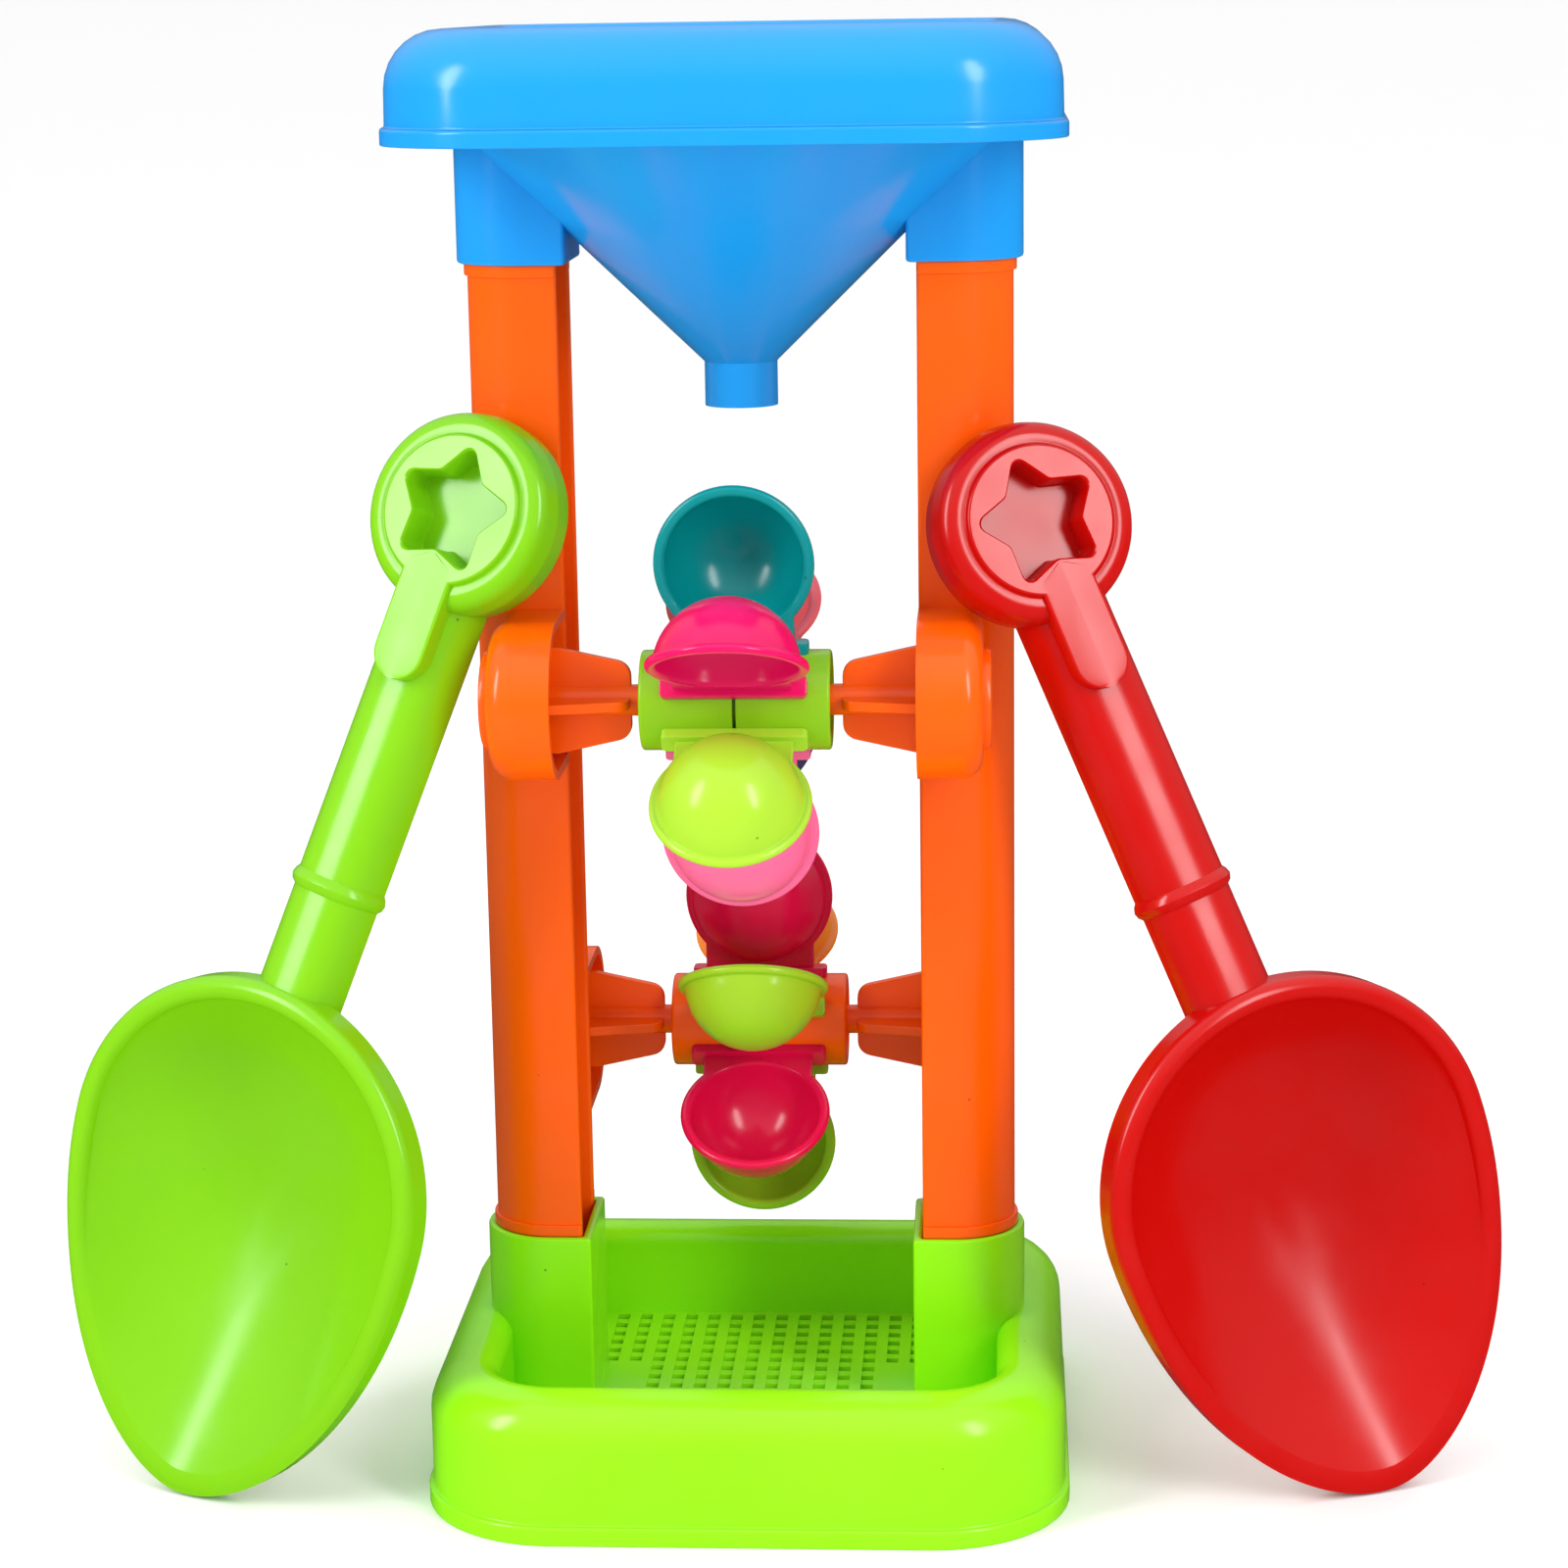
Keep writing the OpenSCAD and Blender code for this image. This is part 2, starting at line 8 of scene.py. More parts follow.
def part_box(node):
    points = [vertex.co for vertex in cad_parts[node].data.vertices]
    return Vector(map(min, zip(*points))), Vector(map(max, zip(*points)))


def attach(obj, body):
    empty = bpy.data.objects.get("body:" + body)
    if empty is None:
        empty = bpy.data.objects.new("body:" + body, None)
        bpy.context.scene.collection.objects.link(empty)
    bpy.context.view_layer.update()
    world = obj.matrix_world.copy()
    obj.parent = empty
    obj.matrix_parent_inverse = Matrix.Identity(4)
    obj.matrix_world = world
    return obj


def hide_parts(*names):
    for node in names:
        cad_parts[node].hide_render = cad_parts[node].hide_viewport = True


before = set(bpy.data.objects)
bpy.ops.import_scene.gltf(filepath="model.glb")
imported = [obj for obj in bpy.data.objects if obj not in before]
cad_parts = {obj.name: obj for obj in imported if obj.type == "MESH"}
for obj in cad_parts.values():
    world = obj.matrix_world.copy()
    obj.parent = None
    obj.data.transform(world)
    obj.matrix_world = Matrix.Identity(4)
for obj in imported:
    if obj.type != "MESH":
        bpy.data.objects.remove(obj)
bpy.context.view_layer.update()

# Sieve tray
# The green base: one injection moulded polypropylene tray with a rolled rim, a slotted sieve floor
# and two upright D-shaped sockets. It stands on its foot lip and holds both posts.
MM = 0.001
WALL = 2.0
LIP_OUT = 1.0
SOCKET_PLAY = 0.15
SOCKET_OUT = WALL + SOCKET_PLAY
CORNER_STEPS = 14
OVERCUT = 1.0
CUT_EDGE_SOFT = 0.4
LIP_SOFT = 0.8
LIP_ROOT_SOFT = 0.5
EDGE_BOW_SHARE = 0.3

tray_low, tray_high = [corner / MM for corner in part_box("sieve_base")]
TRAY_W = tray_high.x - tray_low.x
TRAY_D = tray_high.y - tray_low.y
TOWER_X = (tray_low.x + tray_high.x) / 2
TRAY_SOCKET_H = tray_high.z
TRAY_CORNER = 30.0
TRAY_RIM_W = 16.0
TRAY_H = 31.4
TRAY_ROUND = 10.0
TRAY_INNER_ROUND = 4.5
TRAY_LIP_H = 4.3
SIEVE_Z = 9.9
SIEVE_T = 2.4
SIEVE_PITCH = 5.5
SLOT_W = 2.8
SLOT_SOFT = 0.4
CROSS_BAR_W = 2.8
CROSS_BAR_SINK = 0.35
CROSS_BAR_LIFT = 0.2
LONG_SLOTS = 10
SHORT_SLOTS = 2

POST_X = 38.3
POST_R = 13.0
POST_MID = 7.6
PLAN_SOFT = 0.8
SOCKET_SOFT = 0.7
SOCKET_LIFT = 0.1
ROOM_DROP = 1.0

PLASTIC_ROUGHNESS = 0.2
SPECK_TONE = 0.5
SHARP_ANGLE = math.radians(32)


def rounded(corners, steps=6):
    """Outline through (x, y, radius) corners, with an arc at each corner that has a radius."""
    outline = []
    count = len(corners)
    for i, (x, y, radius) in enumerate(corners):
        here = Vector((x, y))
        if radius <= 0:
            outline.append(here)
            continue
        back = (Vector(corners[i - 1][:2]) - here).normalized()
        ahead = (Vector(corners[(i + 1) % count][:2]) - here).normalized()
        half = back.angle(ahead) / 2
        middle = here + (back + ahead).normalized() * (radius / math.sin(half))
        first = here + back * (radius / math.tan(half)) - middle
        turn = (math.pi - 2 * half) * (1 if first.cross(here - middle) > 0 else -1)
        for k in range(steps + 1):
            outline.append(middle + Matrix.Rotation(turn * k / steps, 2) @ first)
    return outline


def rounded_plan(width, depth, corner, inset=0.0):
    """Rounded rectangle, moved inwards by the inset, always with the same number of points."""
    w, d, r = width / 2 - inset, depth / 2 - inset, corner - inset
    return rounded([(w, -d, r), (w, d, r), (-w, d, r), (-w, -d, r)], CORNER_STEPS)


def outward_arc(radius):
    """The round side of a post's plan, from front to back."""
    turns = (math.radians(5 * k - 90) for k in range(37))
    return [Vector((POST_MID + radius * math.cos(a), radius * math.sin(a))) for a in turns]


def post_plan(grow):
    """D-shaped plan of a post: flat towards the tower's middle, round outwards."""
    r = POST_R + grow
    flat = rounded([(POST_MID, r, 0), (-grow, r, PLAN_SOFT), (-grow, -r, PLAN_SOFT), (POST_MID, -r, 0)], 4)
    return outward_arc(r) + flat[1:-1]


def place(outline, z):
    """A flat outline lifted to a height."""
    return [Vector((p.x, p.y, z)) for p in outline]


def loft(name, rings, caps=True):
    """Closed solid through rings of equal length, in millimetres: capped, or joined last to first."""
    shape = bmesh.new()
    rows = [[shape.verts.new(p * MM) for p in ring] for ring in rings]
    pairs = list(zip(rows, rows[1:] if caps else rows[1:] + rows[:1]))
    for lower, upper in pairs:
        for i in range(len(lower)):
            j = (i + 1) % len(lower)
            shape.faces.new((lower[i], lower[j], upper[j], upper[i]))
    if caps:
        shape.faces.new(rows[0][::-1])
        shape.faces.new(rows[-1])
    bmesh.ops.recalc_face_normals(shape, faces=shape.faces)
    mesh = bpy.data.meshes.new(name)
    shape.to_mesh(mesh)
    shape.free()
    piece = bpy.data.objects.new(name, mesh)
    bpy.context.scene.collection.objects.link(piece)
    return piece


def block(name, low, high):
    """Square-edged bar or cutter between two corners, in millimetres."""
    plan = [Vector((x, y)) for x, y in
            ((low[0], low[1]), (high[0], low[1]), (high[0], high[1]), (low[0], high[1]))]
    return loft(name, [place(plan, low[2]), place(plan, high[2])])


def settle(piece):
    """Turns a piece's modifiers into its mesh."""
    graph = bpy.context.evaluated_depsgraph_get()
    mesh = bpy.data.meshes.new_from_object(piece.evaluated_get(graph))
    piece.modifiers.clear()
    piece.data = mesh
    return piece


def combine(how, piece, *tools):
    """Unites closed meshes with a piece, or cuts them out of it, and clears the tools away."""
    for tool in tools:
        step = piece.modifiers.new(how, "BOOLEAN")
        step.operation = how
        step.solver = "MANIFOLD"
        step.object = tool
    settle(piece)
    for tool in tools:
        bpy.data.objects.remove(tool)
    return piece


def soften(piece, width, segments=2, angle=35):
    """Rounds a piece's sharp edges."""
    edge = piece.modifiers.new("soft edges", "BEVEL")
    edge.width = width * MM
    edge.segments = segments
    edge.limit_method = "ANGLE"
    edge.angle_limit = math.radians(angle)
    return settle(piece)


def turned(piece, matrix):
    """Moves a piece's mesh, with a translation in millimetres."""
    matrix = matrix.copy()
    matrix.translation *= MM
    piece.data.transform(matrix)
    if matrix.determinant() < 0:
        piece.data.flip_normals()
    return piece


def copy_of(piece, name):
    """A second piece with a mesh of its own."""
    other = bpy.data.objects.new(name, piece.data.copy())
    bpy.context.scene.collection.objects.link(other)
    return other


def both_sides(piece):
    """The piece and its mirror image across the tower's middle."""
    return piece, turned(copy_of(piece, piece.name + "_mirrored"), Matrix.Scale(-1, 4, (1, 0, 0)))


def finished(piece, material, body, slot, *nodes):
    """Moves a piece with the tower, smooths its shading, paints it and hands it to its body."""
    turned(piece, Matrix.Translation((TOWER_X, 0, 0)))
    piece.data.polygons.foreach_set("use_smooth", [True] * len(piece.data.polygons))
    piece.data.set_sharp_from_angle(angle=SHARP_ANGLE)
    flat = piece.modifiers.new("flat faces stay flat", "WEIGHTED_NORMAL")
    flat.keep_sharp = True
    settle(piece)
    piece.data.materials.clear()
    piece.data.materials.append(material)
    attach(piece, body)
    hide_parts(*nodes)
    return piece


def moulded_plastic(name, colour, deep):
    """Glossy pigmented polypropylene: uneven pigment and gloss, faint flow waves and stray dark specks."""
    material = bpy.data.materials.new(name)
    material.use_nodes = True
    nodes, links = material.node_tree.nodes, material.node_tree.links
    shader = nodes["Principled BSDF"]
    shader.inputs["IOR"].default_value = 1.49
    shader.inputs["Specular IOR Level"].default_value = 0.37
    shader.inputs["Subsurface Weight"].default_value = 0.12
    shader.inputs["Subsurface Radius"].default_value = (1.0, 0.6, 0.4)
    shader.inputs["Subsurface Scale"].default_value = 0.0015
    where = nodes.new("ShaderNodeTexCoord")

    def noise(scale, detail):
        node = nodes.new("ShaderNodeTexNoise")
        node.inputs["Scale"].default_value = scale
        node.inputs["Detail"].default_value = detail
        links.new(where.outputs["Object"], node.inputs["Vector"])
        return node.outputs["Fac"]

    def ramp(source, stops):
        node = nodes.new("ShaderNodeValToRGB")
        for stop, (spot, tone) in zip(node.color_ramp.elements, stops):
            stop.position = spot
            stop.color = (*tone, 1)
        links.new(source, node.inputs["Fac"])
        return node.outputs["Color"]

    def spread(source, low, high):
        node = nodes.new("ShaderNodeMapRange")
        node.clamp = False
        node.inputs["From Min"].default_value = 0.3
        node.inputs["From Max"].default_value = 0.7
        node.inputs["To Min"].default_value = low
        node.inputs["To Max"].default_value = high
        links.new(source, node.inputs["Value"])
        return node.outputs["Result"]

    pigment = ramp(noise(22, 3), [(0.15, deep), (0.85, colour)])
    cells = nodes.new("ShaderNodeTexVoronoi")
    cells.inputs["Scale"].default_value = 55
    links.new(where.outputs["Object"], cells.inputs["Vector"])
    dirt = ramp(cells.outputs["Distance"], [(0.014, (SPECK_TONE,) * 3), (0.02, (1, 1, 1))])
    paint = nodes.new("ShaderNodeMix")
    paint.data_type = "RGBA"
    paint.blend_type = "MULTIPLY"
    paint.inputs["Factor"].default_value = 1
    links.new(pigment, paint.inputs["A"])
    links.new(dirt, paint.inputs["B"])
    links.new(paint.outputs["Result"], shader.inputs["Base Color"])
    gloss = spread(noise(90, 4), PLASTIC_ROUGHNESS - 0.03, PLASTIC_ROUGHNESS + 0.04)
    links.new(gloss, shader.inputs["Roughness"])

    waves = nodes.new("ShaderNodeBump")
    waves.inputs["Strength"].default_value = 0.06
    waves.inputs["Distance"].default_value = 0.0008
    links.new(noise(45, 2), waves.inputs["Height"])
    links.new(waves.outputs["Normal"], shader.inputs["Normal"])
    return material


def rolled_rim(name, width, depth, corner, z, section):
    """A rim section of (inset, height, radius) corners run around a rounded rectangle."""
    rings = [place(rounded_plan(width, depth, corner, p.x), z + p.y) for p in rounded(section, 7)]
    return loft(name, rings, caps=False)


def socket(name, low, floor, high):
    """D-shaped cup between two heights that a post end sits in, with a rounded mouth."""
    soft = SOCKET_SOFT
    bow = EDGE_BOW_SHARE * soft
    wall = [(SOCKET_OUT, low), (SOCKET_OUT, high - soft), (SOCKET_OUT - bow, high - bow),
            (SOCKET_OUT - soft, high), (SOCKET_PLAY + soft, high), (SOCKET_PLAY + bow, high - bow),
            (SOCKET_PLAY, high - soft), (SOCKET_PLAY, floor)]
    rings = [place(post_plan(grow), z) for grow, z in wall]
    return turned(loft(name, rings), Matrix.Translation((POST_X, 0, 0)))


def sieve_floor():
    """Slotted plate between the rim walls, with cross bars just below its face."""
    low = SIEVE_Z - SIEVE_T
    half_w = TRAY_W / 2 - TRAY_RIM_W
    half_d = TRAY_D / 2 - TRAY_RIM_W
    edge_y = half_d - WALL
    near_y = POST_R + SOCKET_OUT + WALL
    plan = rounded_plan(TRAY_W, TRAY_D, TRAY_CORNER, TRAY_RIM_W - WALL)
    plate = loft("sieve_floor", [place(plan, low), place(plan, SIEVE_Z)])
    slots = []
    for k in range(LONG_SLOTS // 2 + SHORT_SLOTS):
        spans = [(-edge_y, edge_y)] if k < LONG_SLOTS // 2 else [(-edge_y, -near_y), (near_y, edge_y)]
        for side in (-1, 1):
            x = side * SIEVE_PITCH * (k + 0.5)
            slots += [block("slot", (x - SLOT_W / 2, a, low - OVERCUT), (x + SLOT_W / 2, b, SIEVE_Z + OVERCUT))
                      for a, b in spans]
    combine("DIFFERENCE", plate, *slots)
    soften(plate, SLOT_SOFT)
    rows = int((edge_y - CROSS_BAR_W) / SIEVE_PITCH)
    bars = []
    for k in range(-rows, rows + 1):
        y = k * SIEVE_PITCH
        bars.append(block("bar", (-half_w, y - CROSS_BAR_W / 2, low + CROSS_BAR_LIFT),
                          (half_w, y + CROSS_BAR_W / 2, SIEVE_Z - CROSS_BAR_SINK)))
    return combine("UNION", plate, *bars)


tray = rolled_rim("sieve_tray", TRAY_W, TRAY_D, TRAY_CORNER, 0, [
    (0, 0, CUT_EDGE_SOFT), (0, TRAY_LIP_H, LIP_SOFT), (LIP_OUT, TRAY_LIP_H, LIP_ROOT_SOFT),
    (LIP_OUT, TRAY_H, TRAY_ROUND), (TRAY_RIM_W, TRAY_H, TRAY_INNER_ROUND),
    (TRAY_RIM_W, SIEVE_Z - SIEVE_T, CUT_EDGE_SOFT), (TRAY_RIM_W - WALL, SIEVE_Z - SIEVE_T, CUT_EDGE_SOFT),
    (TRAY_RIM_W - WALL, TRAY_H - WALL, TRAY_INNER_ROUND - WALL),
    (LIP_OUT + WALL, TRAY_H - WALL, TRAY_ROUND - WALL), (LIP_OUT + WALL, 0, CUT_EDGE_SOFT)])
tray_sockets = both_sides(socket("tray_socket", SIEVE_Z - SIEVE_T + SOCKET_LIFT, SIEVE_Z, TRAY_SOCKET_H))
combine("UNION", tray, sieve_floor(), *tray_sockets)
room_plan = post_plan(SOCKET_PLAY)
post_room = loft("post_room", [place(room_plan, SIEVE_Z), place(room_plan, TRAY_SOCKET_H - ROOM_DROP)])
for room in both_sides(turned(post_room, Matrix.Translation((POST_X, 0, 0)))):
    combine("DIFFERENCE", tray, room)
spring_green = moulded_plastic("spring_green_plastic", (0.31, 0.86, 0.008), (0.28, 0.81, 0.006))
finished(tray, spring_green, "frame", "tray_green", "sieve_base")

# Posts
# Two orange channels, mirror images, open towards the middle. Each has a dished pod in front at the upper
# axle and one behind at the lower axle, with crossed fins and a moulded axle pin, and a bead at each socket.
POST_SHOW = 216.7
POST_TOP_IN = 18.0
BEAD_H = 2.6
BEAD_OUT = 0.7
BEAD_SOFT = 0.3
CHANNEL_LIP_FLAT = 0.2
AXLE_OUT = 29.3
UPPER_AXLE_Z = 177.2
LOWER_AXLE_Z = 90.0
POD_R = 17.0
POD_LEN = 14.0
POD_ROUND = 4.5
POD_EDGE = 0.35
DISC_R = 10.8
DISC_H = 1.8
DISC_SOFT = 1.0
FIN_T = 2.2
FIN_ROOT = 11.5
FIN_TIP = 8.0
FIN_LEN = 15.8
FIN_ROUND = 3.5
PIN_R = 3.35
PIN_LEN = 8.6
PIN_SOFT = 0.8
PIN_BOW = 0.25
CORE_PLAY = 0.02
CORE_SPARE = 5.0
HOPPER_SOCKET_Z = TRAY_SOCKET_H + POST_SHOW
POST_TOP_Z = HOPPER_SOCKET_Z + POST_TOP_IN
TO_X = Matrix.Rotation(math.radians(90), 4, "Y")


def channel(name, grow, low, high):
    """A stretch of post: the outer D with the inner one left open towards the middle."""
    r, inner = POST_R + grow, POST_R - WALL
    edge = WALL / 2 - CHANNEL_LIP_FLAT
    lip_back = rounded([(POST_MID, r, 0), (0, r, edge), (0, inner, edge), (POST_MID, inner, 0)], 3)
    lip_front = rounded([(POST_MID, -inner, 0), (0, -inner, edge), (0, -r, edge), (POST_MID, -r, 0)], 3)
    plan = outward_arc(r) + lip_back[1:-1] + outward_arc(inner)[::-1] + lip_front[1:-1]
    return turned(loft(name, [place(plan, low), place(plan, high)]), Matrix.Translation((POST_X, 0, 0)))


def pod_shell(name, radius, length, soft, start):
    """Tombstone body along +X: half round in front, running back to the post, rounded at its outer end."""
    def outline(r):
        arc = [Vector((-r * math.cos(a), r * math.sin(a)))
               for a in (math.radians(7.5 * k - 90) for k in range(25))]
        return [Vector((AXLE_OUT, -r))] + arc + [Vector((AXLE_OUT, r))]

    steps = 6
    rings = [(radius, start)] + [
        (radius - soft * (1 - math.cos(a)), length - soft * (1 - math.sin(a)))
        for a in (math.pi / 2 * k / steps for k in range(steps + 1))]
    return loft(name, [[Vector((x, p.x, p.y)) for p in outline(r)] for r, x in rings])


def lathe(name, profile, steps=72):
    """Solid turned about Z from (radius, height) points, in millimetres."""
    rings = []
    for k in range(steps):
        a = 2 * math.pi * k / steps
        rings.append([Vector((p[0] * math.cos(a), p[0] * math.sin(a), p[1])) for p in profile])
    return loft(name, rings, caps=False)


def lathe_solid(name, profile, steps=72):
    """Solid turned about Z from (radius, height) points that run from end cap to end cap."""
    rings = [[Vector((r * math.cos(a), r * math.sin(a), z))
              for a in (2 * math.pi * k / steps for k in range(steps))] for r, z in profile]
    return loft(name, rings)


def slab(name, outline, thickness):
    """Flat plate of an outline, centred on its own plane."""
    return loft(name, [place(outline, -thickness / 2), place(outline, thickness / 2)])


def fin():
    """Flat web along X from inside the pod, narrowing to rounded corners at the wheel."""
    back = POD_LEN - WALL / 2
    outline = rounded([(back, -FIN_ROOT, 0), (back, FIN_ROOT, 0), (0, FIN_ROOT, 0),
                       (-FIN_LEN, FIN_TIP, FIN_ROUND), (-FIN_LEN, -FIN_TIP, FIN_ROUND), (0, -FIN_ROOT, 0)], 6)
    return soften(slab("fin", outline, FIN_T), POD_EDGE)


def axle_pod():
    """Pod with fins and pin, the axle along X at the origin and the post towards +Y."""
    pod = pod_shell("pod", POD_R, POD_LEN, POD_ROUND, 0)
    combine("DIFFERENCE", pod, pod_shell("dish", POD_R - WALL, POD_LEN - WALL, POD_ROUND - WALL, -OVERCUT))
    soften(pod, POD_EDGE, angle=50)
    core = turned(copy_of(channel_core, "core"), Matrix.Translation((-POST_X, AXLE_OUT, 0)))
    combine("DIFFERENCE", pod, core)
    disc_end, pin_end = POD_LEN + DISC_H, -FIN_LEN - PIN_LEN
    disc_bow = EDGE_BOW_SHARE * DISC_SOFT
    disc = turned(lathe_solid("disc", [
        (DISC_R, POD_LEN - WALL), (DISC_R, disc_end - DISC_SOFT), (DISC_R - disc_bow, disc_end - disc_bow),
        (DISC_R - DISC_SOFT, disc_end)]), TO_X)
    pin = turned(lathe_solid("pin", [
        (PIN_R - PIN_SOFT, pin_end), (PIN_R - PIN_BOW, pin_end + PIN_BOW), (PIN_R, pin_end + PIN_SOFT),
        (PIN_R, POD_LEN - WALL / 2)], 40), TO_X)
    flat_fin = fin()
    upright_fin = turned(fin(), Matrix.Rotation(math.radians(90), 4, "X"))
    return combine("UNION", pod, disc, pin, flat_fin, upright_fin)


core_plan = [Vector((p.x if p.x > POST_MID / 2 else -OVERCUT, p.y)) for p in post_plan(-CORE_PLAY)]
core_half = POD_R + CORE_SPARE
channel_core = turned(loft("channel_core", [place(core_plan, -core_half), place(core_plan, core_half)]),
                      Matrix.Translation((POST_X, 0, 0)))
post = channel("right_post_shell", 0, SIEVE_Z, POST_TOP_Z)
pod = axle_pod()
lower_pod = turned(copy_of(pod, "lower_pod"),
                   Matrix.Translation((POST_X, AXLE_OUT, LOWER_AXLE_Z)) @ Matrix.Scale(-1, 4, (0, 1, 0)))
upper_pod = turned(pod, Matrix.Translation((POST_X, -AXLE_OUT, UPPER_AXLE_Z)))
low_bead = soften(channel("low_bead", BEAD_OUT, TRAY_SOCKET_H, TRAY_SOCKET_H + BEAD_H), BEAD_SOFT)
high_bead = soften(channel("high_bead", BEAD_OUT, HOPPER_SOCKET_Z - BEAD_H, HOPPER_SOCKET_Z), BEAD_SOFT)
combine("UNION", post, upper_pod, lower_pod, low_bead, high_bead)
bpy.data.objects.remove(channel_core)
right_post, left_post = both_sides(post)
left_post.name = "left_post_shell"
orange = moulded_plastic("orange_plastic", (1.0, 0.115, 0.001), (0.97, 0.106, 0.0005))
finished(right_post, orange, "frame", "post_orange", "right_post")
finished(left_post, orange, "frame", "post_orange", "left_post")

# Hopper
# The blue funnel on top: one moulding with a rolled rim over a lip, a cone that narrows to a short spout,
# and two sockets that push down over the posts.
hopper_low, hopper_high = [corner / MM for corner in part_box("hopper")]
HOPPER_W = hopper_high.x - hopper_low.x
HOPPER_D = hopper_high.y - hopper_low.y
HOPPER_H = 23.1
HOPPER_CORNER = 28.0
HOPPER_RIM_W = 16.0
HOPPER_ROUND = 12.0
HOPPER_INNER_ROUND = 2.8
HOPPER_LIP_H = 3.6
HOPPER_DRAFT = 0.4
LIP_Z = hopper_high.z - HOPPER_H
FUNNEL_DROP = 48.4
FUNNEL_BITE_SHARE = 0.75
FUNNEL_DEEPER = 8.0
SPOUT_R = 7.9
SPOUT_LEN = 9.5
SPOUT_WALL = 1.6
FUNNEL_Z = LIP_Z - FUNNEL_DROP
FUNNEL_SLOPE = (HOPPER_W / 2 - HOPPER_RIM_W - SPOUT_R) / (FUNNEL_DROP - HOPPER_LIP_H)


def funnel(name, radius, foot_z, top_z, inset, deeper=0.0):
    """Spout and cone as one turned solid, trimmed to the hopper's mouth, or to one that is deeper."""
    levels = 16
    rise = top_z - FUNNEL_Z
    cone = [(radius + FUNNEL_SLOPE * rise * k / levels, FUNNEL_Z + rise * k / levels)
            for k in range(levels + 1)]
    plan = rounded_plan(HOPPER_W, HOPPER_D + deeper, HOPPER_CORNER, inset)
    return combine("INTERSECT", lathe_solid(name, [(radius, foot_z)] + cone, 120),
                   loft("mouth", [place(plan, foot_z - OVERCUT), place(plan, top_z + OVERCUT)]))


def post_cover(name, grow, low, high, soft=0.0):
    """D-shaped plug over a post's end, its lower edge rounded where soft is given."""
    bow = EDGE_BOW_SHARE * soft
    wall = [(grow, low), (grow, high)]
    if soft:
        wall = [(grow - soft, low), (grow - bow, low + bow), (grow, low + soft), (grow, high)]
    rings = [place(post_plan(out), z) for out, z in wall]
    return turned(loft(name, rings), Matrix.Translation((POST_X, 0, 0)))


hopper = rolled_rim("hopper_shell", HOPPER_W, HOPPER_D, HOPPER_CORNER, LIP_Z, [
    (0, 0, CUT_EDGE_SOFT), (0, HOPPER_LIP_H, LIP_SOFT), (LIP_OUT, HOPPER_LIP_H, LIP_ROOT_SOFT),
    (LIP_OUT + HOPPER_DRAFT, HOPPER_H, HOPPER_ROUND), (HOPPER_RIM_W, HOPPER_H, HOPPER_INNER_ROUND),
    (HOPPER_RIM_W, HOPPER_LIP_H, CUT_EDGE_SOFT), (HOPPER_RIM_W - WALL, HOPPER_LIP_H, CUT_EDGE_SOFT),
    (HOPPER_RIM_W - WALL, HOPPER_H - WALL, HOPPER_INNER_ROUND - WALL),
    (LIP_OUT + WALL + HOPPER_DRAFT, HOPPER_H - WALL, HOPPER_ROUND - WALL), (LIP_OUT + WALL, 0, CUT_EDGE_SOFT)])
hopper_top, spout_foot = LIP_Z + HOPPER_H, FUNNEL_Z - SPOUT_LEN
cone = funnel("funnel", SPOUT_R, spout_foot, hopper_top - HOPPER_INNER_ROUND,
              HOPPER_RIM_W - WALL * FUNNEL_BITE_SHARE, FUNNEL_DEEPER)
hopper_socket = post_cover("hopper_socket", SOCKET_OUT, HOPPER_SOCKET_Z, LIP_Z + HOPPER_LIP_H, SOCKET_SOFT)
combine("UNION", hopper, cone, *both_sides(hopper_socket))
bowl = funnel("bowl", SPOUT_R - SPOUT_WALL, spout_foot - OVERCUT, hopper_top + OVERCUT, HOPPER_RIM_W)
post_cap = post_cover("post_cap", SOCKET_OUT, FUNNEL_Z, POST_TOP_Z + SOCKET_OUT)
combine("DIFFERENCE", bowl, *both_sides(post_cap))
combine("DIFFERENCE", hopper, bowl)
post_end_room = post_cover("post_end_room", SOCKET_PLAY, FUNNEL_Z, POST_TOP_Z + SOCKET_PLAY)
combine("DIFFERENCE", hopper, *both_sides(post_end_room))
sky_blue = moulded_plastic("sky_blue_plastic", (0.01, 0.31, 0.78), (0.008, 0.29, 0.75))
finished(hopper, sky_blue, "frame", "hopper_blue", "hopper")

# Wheel hubs
# Each wheel turns on the two axle pins. Its hub is split in the middle: the left half has a spigot that
# plugs into the right half, and slots across the seam hold the cups. Upper hub lime, lower hub orange.
HUB_HALF = 20.2
HUB_R = 10.7
HUB_WALL = 2.0
HUB_RECESS = 2.6
HUB_PLATE = 2.6
HUB_SOFT = 0.7
HUB_SEAM_SOFT = 0.3
HUB_INNER_SOFT = 0.2
HUB_SLIT = 0.35
SEAT_PLAY = 0.1
PIN_PLAY = 0.06
SPIGOT_LEN = 6.0
SPIGOT_WALL = 1.5
NECK_W = 25.0
NECK_T = 2.0
CUPS = 6
UPPER_TURN = 6.0


